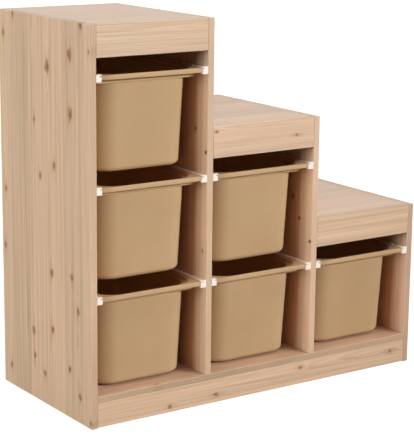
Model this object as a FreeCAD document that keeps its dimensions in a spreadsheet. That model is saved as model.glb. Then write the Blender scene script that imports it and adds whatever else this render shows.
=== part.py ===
import FreeCAD, Part
import os
import re
import Sketcher

# Stepped drawer unit for a child's room. Three columns of pine boards fall in steps from left to right
# and hold three, two and one plastic bins. Each bin hangs by its rim in two plastic runners and slides
# out forwards. X runs along the width, -Y is the front and +Z is up. The origin is the middle of the
# footprint on the floor. All sizes are in millimetres.
SIZES = {
    # Pine frame
    "board": 16.0,                # thickness of every solid board
    "edge_round": 1.2,            # sanded edges of the boards
    "bay_width": 292.0,           # clear width of a column, between its two panels
    "unit_depth": 420.0,
    "step_height": 248.0,         # one bin's share of the height, and the fall from column to column
    "deck_height": 75.0,          # top of the bottom board, above the floor
    "head_room": 109.0,           # top of a column above the tops of its highest runners
    "fascia_height": 73.0,
    "back_rail_height": 60.0,
    "base_rail_floor_gap": 2.0,
    # Back panels, which slide in grooves
    "back_thickness": 3.0,
    "back_setback": 8.0,          # from the unit's back to the groove
    "groove_depth": 5.0,
    "groove_clearance": 0.2,      # on each face of a back panel
    "groove_end_clearance": 0.5,
    # Runners
    "runner_width": 13.5,
    "runner_height": 17.0,
    "runner_nose": 8.0,           # full-section block at the front end
    "runner_round": 0.8,          # edges of the nose's front
    "runner_wall": 8.0,
    "runner_lip_width": 10.5,
    "runner_lip": 1.6,
    "runner_ledge": 3.0,
    "runner_back_gap": 6.0,       # from a runner's end to the back panel
    "peg_diameter": 5.0,
    "peg_length": 6.0,
    "peg_end_clearance": 0.5,
    "peg_margin": 42.0,           # first and last peg from a runner's ends
    "peg_drop": 12.5,             # pegs below the runner's top
    # Bins
    "bin_gap": 25.0,              # from a bin's floor to the rim below it
    "bin_floor_gap": 4.0,         # from the lowest bins to the deck
    "bin_wall": 2.0,
    "bin_corner_round": 52.0,
    "bin_floor_round": 10.0,
    "bin_side_gap": 18.5,         # from a panel to the bin's collar
    "bin_side_taper": 6.0,
    "bin_end_taper": 12.0,
    "rim": 1.8,                   # thickness of the rim's flat flange and its front lip
    "rim_drop": 3.0,              # rim below the tops of the runners
    "rim_setback": 4.0,           # rim's front behind the boards' front edges
    "rim_back_gap": 24.0,         # rim's rear edge in front of the unit's back
    "rim_overhang": 25.0,         # rim beyond the collar, in front and behind
    "tray_setback": 4.0,          # rim beyond the shallow tray of the bin's mouth, in front and behind
    "rim_corner_round": 4.0,      # rear corners of the rim
    "lip_height": 10.5,
    "lip_clearance": 0.5,         # from the lip's ends to the runners' noses
    "tongue_clearance": 1.0,      # rim's sides to the groove bottom, rim's shoulders to the noses
    "slide_clearance": 0.3,       # above and below the rim in its groove
    "collar_height": 22.0,        # square stiffening collar under the rim
    "collar_ledge": 3.0,          # collar beyond the bin's walls at their top
    # Dowels, which place the boards
    "dowel_diameter": 8.0,
    "dowel_in_panel": 10.0,
    "dowel_in_end": 20.0,
    "dowel_end_clearance": 0.5,
    "dowel_margin": 15.0,         # from a board's edge to the nearest dowel
    "deck_dowel_offset": 60.0,    # deck's dowels from the middle of its depth
    # Bolts and cam locks, which pull the panels against the deck and the tops
    "bolt_thread_diameter": 7.0,
    "bolt_in_panel": 11.0,
    "bolt_shank_diameter": 5.0,
    "bolt_head_diameter": 7.5,
    "bolt_head": 3.0,
    "bolt_front_margin": 34.0,    # from a fascia's rear face to the nearest bolts
    "bolt_margin": 50.0,          # from the unit's back, and the deck's front, to the nearest bolts
    "cam_diameter": 15.0,
    "cam_depth": 12.5,
    "cam_distance": 24.0,         # from the panel's face to the cam's axis
    "cam_drive_width": 2.0,
    "cam_drive_depth": 2.5,
    # Screws through the deck into the feet of the dividers, and through a divider into the next column
    "screw_diameter": 5.0,
    "screw_in_end": 34.0,
    "screw_head_diameter": 9.5,
    "screw_head": 4.0,
    "screw_margin": 60.0,         # from the deck's front and rear edge
    # Two holes that fix the tall column to a wall
    "wall_hole_diameter": 5.0,
    "wall_hole_spacing": 200.0,
    # Shared by all fasteners and cuts
    "hole_clearance": 0.1,        # on a fastener's diameter
    "cut_overrun": 2.0,
}

COLUMNS = ("tall", "mid", "low")
LEVELS = {"tall": ("_bottom", "_middle", "_top"), "mid": ("_bottom", "_top"), "low": ("",)}
PEGS = 3

FRONT = "(-unit_depth / 2)"
BACK = "(unit_depth / 2)"
GROOVE_FRONT = "(unit_depth / 2 - back_setback - back_thickness - 2 * groove_clearance)"
BIN_HEIGHT = "(step_height - bin_gap)"
BIN_WIDTH = "(bay_width - 2 * bin_side_gap)"
RIM_LENGTH = "(unit_depth - rim_setback - rim_back_gap)"
LIP_WIDTH = "(bay_width - 2 * runner_width - 2 * lip_clearance)"
TONGUE_WIDTH = "(bay_width - 2 * runner_wall - 2 * tongue_clearance)"
TONGUE_START = "(runner_nose - rim_setback + tongue_clearance)"
LIP_UNDERSIDE = "(slide_clearance - rim_drop)"
LEDGE_TOP = "(-rim_drop - rim - slide_clearance)"
RUNNER_LENGTH = f"({GROOVE_FRONT} - {FRONT} - runner_back_gap)"

X_AXIS = FreeCAD.Vector(1, 0, 0)
Y_AXIS = FreeCAD.Vector(0, 1, 0)
Z_AXIS = FreeCAD.Vector(0, 0, 1)

doc = FreeCAD.newDocument("drawer_unit")
sub_parts = []
sockets = []


def write_sheet():
    """Puts every size in a sheet cell that carries its name."""
    sheet = doc.addObject("Spreadsheet::Sheet", "Sizes")
    for row, (name, value) in enumerate(SIZES.items(), start=1):
        sheet.set(f"A{row}", name)
        sheet.set(f"B{row}", str(value))
        sheet.setAlias(f"B{row}", name)
    doc.recompute()


def bind(item, formulas):
    """Ties properties of an object to formulas, in which every word is the name of a size."""
    for path, formula in formulas.items():
        item.setExpression(path, re.sub(r"[a-z]\w*", r"Sizes.\g<0>", str(formula)))


def place(item, corner):
    """Ties an object's place to three formulas."""
    bind(item, dict(zip(("Placement.Base.x", "Placement.Base.y", "Placement.Base.z"), corner)))


def named(item, name):
    """Lists an object as the sub-part of that name."""
    item.Label = name
    sub_parts.append(item)
    return item


def bay_centre(column):
    return f"({column - 1} * (bay_width + board))"


def left_face(column):
    return f"({bay_centre(column)} - bay_width / 2)"


def right_face(column):
    return f"({bay_centre(column)} + bay_width / 2)"


def rim_top(level):
    return f"(deck_height + bin_floor_gap + {BIN_HEIGHT} + {level} * step_height)"


def runner_top(level):
    return f"({rim_top(level)} + rim_drop)"


def column_top(column):
    highest = len(LEVELS[COLUMNS[column]]) - 1
    return f"({runner_top(highest)} + head_room)"


def new_body(name, corner):
    body = doc.addObject("PartDesign::Body", name)
    place(body, corner)
    return body


def new_sketch(body, name, offset, role="XY_Plane"):
    """Sketch in a body, parallel to a plane of the body's own origin."""
    sketch = body.newObject("Sketcher::SketchObject", name)
    plane = next(item for item in body.Origin.OriginFeatures if item.Role == role)
    sketch.AttachmentSupport = [(plane, "")]
    sketch.MapMode = "FlatFace"
    bind(sketch, {"AttachmentOffset.Base.z": offset})
    return sketch


def measure(sketch, constraint, formula):
    """Adds a measure to a sketch and ties it to a formula."""
    index = sketch.addConstraint(Sketcher.Constraint(*constraint))
    bind(sketch, {f"Constraints[{index}]": formula})


def rectangle(sketch, left, near, width, depth):
    """Rectangle whose corner and sides follow four formulas."""
    first = sketch.GeometryCount
    corners = [FreeCAD.Vector(), X_AXIS, X_AXIS + Y_AXIS, Y_AXIS]
    for start, end in zip(corners, corners[1:] + corners[:1]):
        sketch.addGeometry(Part.LineSegment(start, end), False)
    for side in range(4):
        sketch.addConstraint(Sketcher.Constraint("Coincident", first + side, 2, first + (side + 1) % 4, 1))
        direction = ("Horizontal", "Vertical")[side % 2]
        sketch.addConstraint(Sketcher.Constraint(direction, first + side))
    measure(sketch, ("DistanceX", -1, 1, first, 1, 0), left)
    measure(sketch, ("DistanceY", -1, 1, first, 1, 0), near)
    measure(sketch, ("DistanceX", first, 1, first, 2, 1), width)
    measure(sketch, ("DistanceY", first + 1, 1, first + 1, 2, 1), depth)


def slab(body, name, corner, size):
    """Pads a rectangle: corner and size are formulas for x, y and z."""
    sketch = new_sketch(body, f"{name}_sketch", corner[2])
    rectangle(sketch, corner[0], corner[1], size[0], size[1])
    pad = body.newObject("PartDesign::Pad", name)
    pad.Profile = sketch
    bind(pad, {"Length": size[2]})
    return pad


def slot(body, name, corner, size):
    """Cuts a rectangular pocket downwards: corner is its lowest corner."""
    sketch = new_sketch(body, f"{name}_sketch", f"{corner[2]} + {size[2]}")
    rectangle(sketch, corner[0], corner[1], size[0], size[1])
    pocket = body.newObject("PartDesign::Pocket", name)
    pocket.Profile = sketch
    bind(pocket, {"Length": size[2]})
    doc.recompute()
    if pocket.Shape.Volume >= pocket.BaseFeature.Shape.Volume:
        raise RuntimeError(f"{name} cuts nothing")
    return pocket


def round_edges(body, name, radius, chosen):
    """Rounds those edges of a body's last feature for which the test holds."""
    doc.recompute()
    base = body.Tip
    edges = [f"Edge{index}" for index, edge in enumerate(base.Shape.Edges, start=1) if chosen(edge)]
    fillet = body.newObject("PartDesign::Fillet", name)
    fillet.Base = (base, edges)
    bind(fillet, {"Radius": radius})
    doc.recompute()
    return fillet


def same(first, second):
    return abs(first - second) < FreeCAD.Base.Precision.approximation()


def heights(shape):
    """Lowest and highest corner of a shape."""
    levels = [corner.Z for corner in shape.Vertexes]
    return min(levels), max(levels)


def lies_at(height):
    """Test for edges that lie level at a height."""
    return lambda edge: all(same(level, height) for level in heights(edge))


def make_tub(name, corner, inset):
    """Tapered box with rounded corners, from a bin's rim down: inset is what it leaves on each side."""
    body = new_body(name, corner)
    outlines = []
    for height, side_taper, end_taper in (("0", "0", "0"),
                                          (f"{inset} - {BIN_HEIGHT}", "bin_side_taper", "bin_end_taper")):
        sketch = new_sketch(body, "tub_outline", height)
        width = f"({BIN_WIDTH} - 2 * (collar_ledge + {inset} + {side_taper}))"
        near = f"(rim_overhang + collar_ledge + {inset} + {end_taper})"
        rectangle(sketch, f"-{width} / 2", near, width, f"{RIM_LENGTH} - 2 * {near}")
        outlines.append(sketch)
    loft = body.newObject("PartDesign::AdditiveLoft", "tub")
    loft.Profile = outlines[0]
    loft.Sections = outlines[1:]
    loft.Ruled = True
    round_edges(body, "tub_corners", f"bin_corner_round - {inset}", lambda edge: not same(*heights(edge)))
    floor = heights(loft.Shape)[0]
    round_edges(body, "tub_floor_edge", f"bin_floor_round - {inset}", lies_at(floor))
    return body


def make_tray(name, corner, inset, depth):
    """Shallow box with rounded corners, from a bin's rim down: inset is what it leaves on each side."""
    body = new_body(name, corner)
    width = f"({BIN_WIDTH} - 2 * {inset})"
    near = f"(tray_setback + {inset})"
    slab(body, "tray", (f"-{width} / 2", near, f"-{depth}"), (width, f"{RIM_LENGTH} - 2 * {near}", depth))
    round_edges(body, "tray_corners", f"bin_corner_round + bin_wall - {inset}",
                lambda edge: not same(*heights(edge)))
    return body


def make_bin(column, level, name):
    """Hollow tub with a flat rim, a front lip, a square collar, and a mouth that is sunk into the rim as a tray."""
    corner = (bay_centre(column), f"{FRONT} + rim_setback", rim_top(level))
    outside = make_tub(f"{name}_outside", corner, "0")
    add_rim(outside)
    solid = fused(f"{name}_solid", [outside, make_tray(f"{name}_tray", corner, "0", "lip_height")])
    hollow = fused(f"{name}_hollow", [make_tub(f"{name}_inside", corner, "bin_wall"),
                                      make_tray(f"{name}_mouth", corner, "bin_wall", "(lip_height - rim)")])
    return named(cut(f"{name}_cut", solid, hollow), name)


def add_rim(body):
    """Flat flange that runs in the grooves, its front lip and the collar under it."""
    slab(body, "rim_front", (f"-{LIP_WIDTH} / 2", "0", "-rim"), (LIP_WIDTH, TONGUE_START, "rim"))
    plate = slab(body, "rim_plate", (f"-{TONGUE_WIDTH} / 2", TONGUE_START, "-rim"),
                 (TONGUE_WIDTH, f"{RIM_LENGTH} - {TONGUE_START}", "rim"))
    doc.recompute()
    rear = max(corner.Y for corner in plate.Shape.Vertexes)
    round_edges(body, "rim_rear_corners", "rim_corner_round",
                lambda edge: not same(*heights(edge)) and all(same(end.Y, rear) for end in edge.Vertexes))
    slab(body, "front_lip", (f"-{LIP_WIDTH} / 2", "0", "-lip_height"), (LIP_WIDTH, "rim", "lip_height"))
    ring = new_sketch(body, "collar_sketch", "-collar_height")
    for inset in ("0", "bin_wall"):
        width = f"({BIN_WIDTH} - 2 * {inset})"
        near = f"(rim_overhang + {inset})"
        rectangle(ring, f"-{width} / 2", near, width, f"{RIM_LENGTH} - 2 * {near}")
    collar = body.newObject("PartDesign::Pad", "collar")
    collar.Profile = ring
    bind(collar, {"Length": "collar_height"})


def make_runners(column, level, name):
    """Pair of grooved bars with pegs on their backs; the right one mirrors the left one."""
    body = new_body(f"{name}_left_body", (left_face(column), FRONT, runner_top(level)))
    slab(body, "nose", ("0", "0", "-runner_height"), ("runner_width", "runner_nose", "runner_height"))
    round_edges(body, "nose_edges", "runner_round", lambda edge: all(same(end.Y, 0) for end in edge.Vertexes))
    wall_height = f"runner_height + {LIP_UNDERSIDE} + runner_lip"
    slab(body, "wall", ("0", "runner_round", "-runner_height"),
         ("runner_wall", f"{RUNNER_LENGTH} - runner_round", wall_height))
    slab(body, "upper_lip", ("0", "runner_round", LIP_UNDERSIDE),
         ("runner_lip_width", f"{RUNNER_LENGTH} - runner_round", "runner_lip"))
    slab(body, "ledge", ("0", "runner_round", f"{LEDGE_TOP} - runner_ledge"),
         ("runner_width", f"{RUNNER_LENGTH} - runner_round", "runner_ledge"))
    slot(body, "groove", ("runner_wall", "-cut_overrun", LEDGE_TOP),
         ("runner_width - runner_wall + cut_overrun", "runner_nose + 2 * cut_overrun",
          f"{LIP_UNDERSIDE} - {LEDGE_TOP}"))
    stop = f"(rim_setback + {RIM_LENGTH} + slide_clearance)"
    slab(body, "rear_stop", ("runner_wall", stop, LEDGE_TOP),
         ("runner_width - runner_wall", f"{RUNNER_LENGTH} - {stop}", f"{LIP_UNDERSIDE} - {LEDGE_TOP}"))
    add_pegs(body)
    named(body, f"{name}_left")
    mirror = doc.addObject("Part::Mirroring", f"{name}_right_mirror")
    mirror.Source = body
    mirror.Normal = X_AXIS
    bind(mirror, {"Base.x": bay_centre(column)})
    named(mirror, f"{name}_right")


def add_pegs(body):
    """Row of pegs on a runner's back."""
    sketch = new_sketch(body, "peg_sketch", "0", "YZ_Plane")
    sketch.addGeometry(Part.Circle(), False)
    measure(sketch, ("DistanceX", -1, 1, 0, 3, 1), "peg_margin")
    measure(sketch, ("DistanceY", -1, 1, 0, 3, -1), "-peg_drop")
    measure(sketch, ("Diameter", 0, 1), "peg_diameter")
    peg = body.newObject("PartDesign::Pad", "peg")
    peg.Profile = sketch
    peg.Reversed = True
    bind(peg, {"Length": "peg_length"})
    doc.recompute()
    row = body.newObject("PartDesign::LinearPattern", "peg_row")
    row.Originals = [peg]
    row.Direction = (sketch, ["H_Axis"])
    row.Occurrences = PEGS
    bind(row, {"Length": f"{RUNNER_LENGTH} - 2 * peg_margin"})
    body.Tip = row


def cylinder(name, axis, start, diameter, length):
    """Round rod or hole from a start point along an axis, all as formulas."""
    rod = doc.addObject("Part::Cylinder", name)
    rod.Placement.Rotation = FreeCAD.Rotation(Z_AXIS, axis)
    bind(rod, {"Radius": f"({diameter}) / 2", "Height": length})
    place(rod, start)
    return rod


def block(name, corner, size):
    """Plain box from its lowest corner, all as formulas."""
    box = doc.addObject("Part::Box", name)
    bind(box, dict(zip(("Length", "Width", "Height"), size)))
    place(box, corner)
    return box


def drill(name, axis, start, diameter, length):
    """Hole that every board it meets gets."""
    sockets.append(cylinder(name, axis, start, f"{diameter} + hole_clearance", length))


def drill_pegs(column, level):
    """Blind holes in both panels of a bay for a pair of runners."""
    for face, away in ((left_face(column), -1), (right_face(column), 1)):
        for peg in range(PEGS):
            step = f"({RUNNER_LENGTH} - 2 * peg_margin) * {peg} / {PEGS - 1}"
            start = (face, f"{FRONT} + peg_margin + {step}", f"{runner_top(level)} - peg_drop")
            drill("peg_hole", X_AXIS * away, start, "peg_diameter", "peg_length + peg_end_clearance")


def both_ends(column_left, column_right):
    """Faces that a crosspiece butts against, each with the direction into the crosspiece."""
    return ((left_face(column_left), 1), (right_face(column_right), -1))


def add_dowels(dowels, ends, across, height):
    """Dowel at each end of a crosspiece, partly in the panel and partly in the crosspiece."""
    for face, inward in ends:
        axis = X_AXIS * inward
        hole_start = (f"{face} - {inward} * dowel_in_panel", across, height)
        drill("dowel_hole", axis, hole_start, "dowel_diameter", "dowel_in_panel + dowel_in_end")
        start = (f"{face} - {inward} * (dowel_in_panel - dowel_end_clearance)", across, height)
        length = "dowel_in_panel + dowel_in_end - 2 * dowel_end_clearance"
        dowels.append(cylinder("dowel", axis, start, "dowel_diameter", length))


def add_cams(bolts, cams, ends, across, top):
    """Bolt and cam lock at each end of a level board, with the cam let in from below."""
    middle = f"{top} - board / 2"
    for face, inward in ends:
        axis = X_AXIS * inward
        into_panel = (f"{face} - {inward} * bolt_in_panel", across, middle)
        head = (f"{face} + {inward} * (cam_distance - bolt_head / 2)", across, middle)
        drill("thread_hole", axis, into_panel, "bolt_thread_diameter", "bolt_in_panel")
        drill("shank_hole", axis, (face, across, middle), "bolt_head_diameter", "cam_distance")
        thread = cylinder("thread", axis, into_panel, "bolt_thread_diameter", "bolt_in_panel")
        shank = cylinder("shank", axis, (face, across, middle), "bolt_shank_diameter", "cam_distance")
        ball = cylinder("head", axis, head, "bolt_head_diameter", "bolt_head")
        bolts.append(fused("cam_bolt", [thread, shank, ball]))
        cams.append(cam_lock(face, inward, across, top))


def cam_lock(face, inward, across, top):
    """Drum with a mouth for the bolt's head and a slot for the screwdriver."""
    centre = f"({face} + {inward} * cam_distance)"
    underside = f"({top} - board)"
    hole_start = (centre, across, f"{underside} - cut_overrun")
    drill("cam_hole", Z_AXIS, hole_start, "cam_diameter", "cam_depth + cut_overrun")
    drum = cylinder("drum", Z_AXIS, (centre, across, underside), "cam_diameter", "cam_depth")
    outward = "(cam_diameter / 2 + cut_overrun)"
    past_centre = "(bolt_head / 2 + hole_clearance)"
    mouth_width = "(bolt_head_diameter + 2 * hole_clearance)"
    mouth_start = f"{centre} - {outward if inward > 0 else past_centre}"
    mouth_low = f"{top} - board / 2 - {mouth_width} / 2"
    mouth = block("mouth", (mouth_start, f"{across} - {mouth_width} / 2", mouth_low),
                  (f"{outward} + {past_centre}", mouth_width, mouth_width))
    drive_start = (f"{centre} - cam_diameter / 2", f"{across} - cam_drive_width / 2",
                   f"{underside} - cut_overrun")
    drive = block("drive", drive_start,
                  ("cam_diameter", "cam_drive_width", "cam_drive_depth + cut_overrun"))
    return cut("cam_lock", drum, fused("cam_cuts", [mouth, drive]))


def fused(name, items):
    union = doc.addObject("Part::MultiFuse", name)
    union.Shapes = items
    return union


def cut(name, base, tool):
    difference = doc.addObject("Part::Cut", name)
    difference.Base = base
    difference.Tool = tool
    return difference


def group(name, items):
    """Several separate solids as one sub-part."""
    compound = doc.addObject("Part::Compound", f"{name}_group")
    compound.Links = items
    return named(compound, name)


def make_board(name, corner, size, tool):
    """Plank with sanded edges, drilled and grooved wherever the tool meets it."""
    body = new_body(f"{name}_body", corner)
    slab(body, "plank", ("0", "0", "0"), size)
    round_edges(body, "sanded_edges", "edge_round", lambda edge: True)
    return named(cut(f"{name}_cut", body, tool), name)


def bolt_rows():
    """Where the bolts of a top stand between the front and the back."""
    return f"{FRONT} + board + bolt_front_margin", f"{BACK} - bolt_margin"


def add_screw(screws, axis, start, outside):
    """Screw through one board into the end of another: outside is a point in front of its head."""
    reach = "board + screw_in_end"
    drill("screw_hole", axis, start, "screw_diameter", reach)
    drill("screw_head_hole", axis, outside, "screw_head_diameter", "screw_head + cut_overrun")
    shank = cylinder("screw_shank", axis, start, "screw_diameter", reach)
    head = cylinder("screw_head", axis, start, "screw_head_diameter", "screw_head")
    screws.append(fused("screw", [shank, head]))


def add_deck_screws(screws, column):
    """Two screws from under the deck into the divider on the right of a column."""
    middle = f"{right_face(column)} + board / 2"
    underside = "deck_height - board"
    for across in (f"{FRONT} + screw_margin", f"{BACK} - screw_margin"):
        add_screw(screws, Z_AXIS, (middle, across, underside), (middle, across, f"{underside} - cut_overrun"))


def add_step_screws(screws, column):
    """Screws from inside a column through its divider: into the next column's top and its fascia's foot."""
    face = right_face(column)
    top = column_top(column + 1)
    in_top = [(across, f"{top} - board / 2") for across in bolt_rows()]
    in_fascia = (f"{FRONT} + board / 2", f"{top} - fascia_height + dowel_margin")
    for across, height in in_top + [in_fascia]:
        add_screw(screws, X_AXIS, (face, across, height), (f"{face} - cut_overrun", across, height))


def make_fasteners():
    """Dowels, bolts, cam locks and screws, with the holes that they need."""
    dowels, bolts, cams, screws = [], [], [], []
    for column in range(len(COLUMNS)):
        ends = both_ends(column, column)
        unscrewed_ends = ends if column == 0 else ends[1:]
        top = column_top(column)
        add_dowels(dowels, ends, f"{FRONT} + board / 2", f"{top} - dowel_margin")
        add_dowels(dowels, unscrewed_ends, f"{FRONT} + board / 2", f"{top} - fascia_height + dowel_margin")
        rail_top = f"{top} - board"
        for height in (f"{rail_top} - dowel_margin", f"{rail_top} - back_rail_height + dowel_margin"):
            add_dowels(dowels, ends, f"{GROOVE_FRONT} - board / 2", height)
        add_dowels(dowels, ends, "board / 2", f"{top} - board / 2")
        for across in bolt_rows():
            add_cams(bolts, cams, unscrewed_ends, across, top)
    ends = both_ends(0, len(COLUMNS) - 1)
    for side in (-1, 1):
        add_dowels(dowels, ends, f"{side} * deck_dowel_offset", "deck_height - board / 2")
        add_cams(bolts, cams, ends, f"{side} * ({BACK} - bolt_margin)", "deck_height")
        for height in ("base_rail_floor_gap + dowel_margin", "deck_height - board - dowel_margin"):
            add_dowels(dowels, ends, f"{side} * ({BACK} - board / 2)", height)
    for column in range(len(COLUMNS) - 1):
        add_deck_screws(screws, column)
        add_step_screws(screws, column)
    group("dowels", dowels)
    group("cam_bolts", bolts)
    group("cam_locks", cams)
    group("divider_screws", screws)


def drill_wall_holes():
    """Two holes through the rail and the back panel behind the top of the tall column."""
    holes = []
    for side in (-1, 1):
        start = (f"{bay_centre(0)} + {side} * wall_hole_spacing / 2",
                 f"{GROOVE_FRONT} - board - cut_overrun",
                 f"{column_top(0)} - board - back_rail_height / 2")
        length = f"{BACK} - {GROOVE_FRONT} + board + 2 * cut_overrun"
        holes.append(cylinder("wall_hole", Y_AXIS, start, "wall_hole_diameter", length))
    sockets.extend(holes)
    return fused("wall_holes", holes)


def make_back(column, wall_holes):
    """Thin panel that closes the back of a column, in grooves of its two panels."""
    height = f"{column_top(column)} - board - deck_height"
    groove = (f"{left_face(column)} - groove_depth", GROOVE_FRONT, "deck_height")
    groove_size = ("bay_width + 2 * groove_depth", "back_thickness + 2 * groove_clearance", height)
    sockets.append(block("groove", groove, groove_size))
    edge = "(groove_depth - groove_end_clearance)"
    name = f"back_panel_{COLUMNS[column]}"
    corner = (f"{left_face(column)} - {edge}", f"{GROOVE_FRONT} + groove_clearance", "deck_height")
    size = (f"bay_width + 2 * {edge}", "back_thickness", f"{height} - groove_end_clearance")
    body = new_body(f"{name}_body", corner)
    slab(body, "sheet", ("0", "0", "0"), size)
    named(cut(f"{name}_cut", body, wall_holes) if column == 0 else body, name)


def make_frame(tool):
    """Side panels and dividers, the deck with its two rails, and each column's top, fascia and rail."""
    span = "(3 * bay_width + 2 * board)"
    first, last = 0, len(COLUMNS) - 1
    make_board("side_panel_left", (f"{left_face(first)} - board", FRONT, "0"),
               ("board", "unit_depth", column_top(first)), tool)
    make_board("side_panel_right", (right_face(last), FRONT, "0"),
               ("board", "unit_depth", column_top(last)), tool)
    for column in range(last):
        make_board(f"divider_{COLUMNS[column]}", (right_face(column), FRONT, "deck_height"),
                   ("board", "unit_depth", f"{column_top(column)} - deck_height"), tool)
    make_board("base_deck", (left_face(first), FRONT, "deck_height - board"),
               (span, "unit_depth", "board"), tool)
    rail_size = (span, "board", "deck_height - board - base_rail_floor_gap")
    make_board("base_front_rail", (left_face(first), FRONT, "base_rail_floor_gap"), rail_size, tool)
    make_board("base_back_rail", (left_face(first), f"{BACK} - board", "base_rail_floor_gap"),
               rail_size, tool)
    for column, name in enumerate(COLUMNS):
        left, top = left_face(column), column_top(column)
        make_board(f"top_board_{name}", (left, f"{FRONT} + board", f"{top} - board"),
                   ("bay_width", "unit_depth - board", "board"), tool)
        make_board(f"fascia_{name}", (left, FRONT, f"{top} - fascia_height"),
                   ("bay_width", "board", "fascia_height"), tool)
        rail = (left, f"{GROOVE_FRONT} - board", f"{top} - board - back_rail_height")
        make_board(f"back_rail_{name}", rail, ("bay_width", "board", "back_rail_height"), tool)


def check_model():
    """Stops if any object failed or any sub-part is not a sound solid."""
    doc.recompute()
    for item in doc.Objects:
        if "Invalid" in item.State or "Error" in item.State:
            raise RuntimeError(f"{item.Label} failed: {item.State}")
    for item in sub_parts:
        shape = item.Shape
        if shape.isNull() or not shape.isValid() or not shape.Solids:
            raise RuntimeError(f"{item.Label} is not a sound solid")


def write_parts():
    """Writes each sub-part to a file of its own name."""
    os.makedirs("parts", exist_ok=True)
    for item in sub_parts:
        item.Shape.exportStep(os.path.join("parts", f"{item.Label}.step"))
        print(item.Label, len(item.Shape.Solids), round(item.Shape.Volume))


write_sheet()
make_fasteners()
wall_hole_tool = drill_wall_holes()
for place_in_row, column_name in enumerate(COLUMNS):
    make_back(place_in_row, wall_hole_tool)
    for storey, level_name in enumerate(LEVELS[column_name]):
        drill_pegs(place_in_row, storey)
        make_runners(place_in_row, storey, f"runner_{column_name}{level_name}")
        make_bin(place_in_row, storey, f"bin_{column_name}{level_name}")
make_frame(fused("drillings", sockets))
check_model()
write_parts()
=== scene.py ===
"""Looks of a stepped drawer unit: pine boards, khaki bins in white runners, and a pale studio floor."""

import logging
import math
from dataclasses import dataclass
from enum import Enum

import bpy
import numpy as np
from mathutils import Matrix, Vector


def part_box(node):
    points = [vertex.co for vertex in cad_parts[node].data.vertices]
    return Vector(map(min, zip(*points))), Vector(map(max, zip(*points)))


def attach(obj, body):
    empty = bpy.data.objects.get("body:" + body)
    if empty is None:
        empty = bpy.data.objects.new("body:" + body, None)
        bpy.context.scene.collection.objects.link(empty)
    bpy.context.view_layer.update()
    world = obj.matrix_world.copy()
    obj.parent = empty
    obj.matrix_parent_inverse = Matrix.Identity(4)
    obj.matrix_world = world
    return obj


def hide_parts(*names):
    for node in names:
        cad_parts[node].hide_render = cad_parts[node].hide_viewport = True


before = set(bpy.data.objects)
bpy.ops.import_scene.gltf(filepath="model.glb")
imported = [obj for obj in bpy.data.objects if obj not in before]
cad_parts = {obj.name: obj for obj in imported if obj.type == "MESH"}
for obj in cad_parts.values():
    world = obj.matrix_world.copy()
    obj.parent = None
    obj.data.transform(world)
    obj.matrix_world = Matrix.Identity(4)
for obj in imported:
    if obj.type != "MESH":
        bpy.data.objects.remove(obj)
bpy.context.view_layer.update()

Color = tuple[float, float, float, float]
Point = tuple[float, float, float]
Socket = bpy.types.NodeSocket
Value = Socket | float | tuple[float, ...]

MM = 0.001
PHOTO_HEIGHT = 434.0
SENSOR = 36.0
NO_KNOT_NEAR = 9.0
KNOT_RADII = (2.5, 6.5)
COLUMNS = ("tall", "mid", "low")
WHITE = (1.0, 1.0, 1.0, 1.0)
NUMBER = "NodeSocketFloat"
COLOR = "NodeSocketColor"
VECTOR = "NodeSocketVector"
SKIN = {"Color": COLOR, "Height": NUMBER, "Roughness": NUMBER}
log = logging.getLogger("drawer_unit")


class Lay(Enum):
    """How a board lies: which object axes run across its grain, through its thickness and along its grain."""

    UPRIGHT = (1, 0, 2)
    FLAT = (1, 2, 0)
    FACING = (2, 1, 0)


class Slot(Enum):
    """Material slots of the record, by name; nothing in the script reads them."""

    KHAKI = "khaki_plastic"


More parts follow.
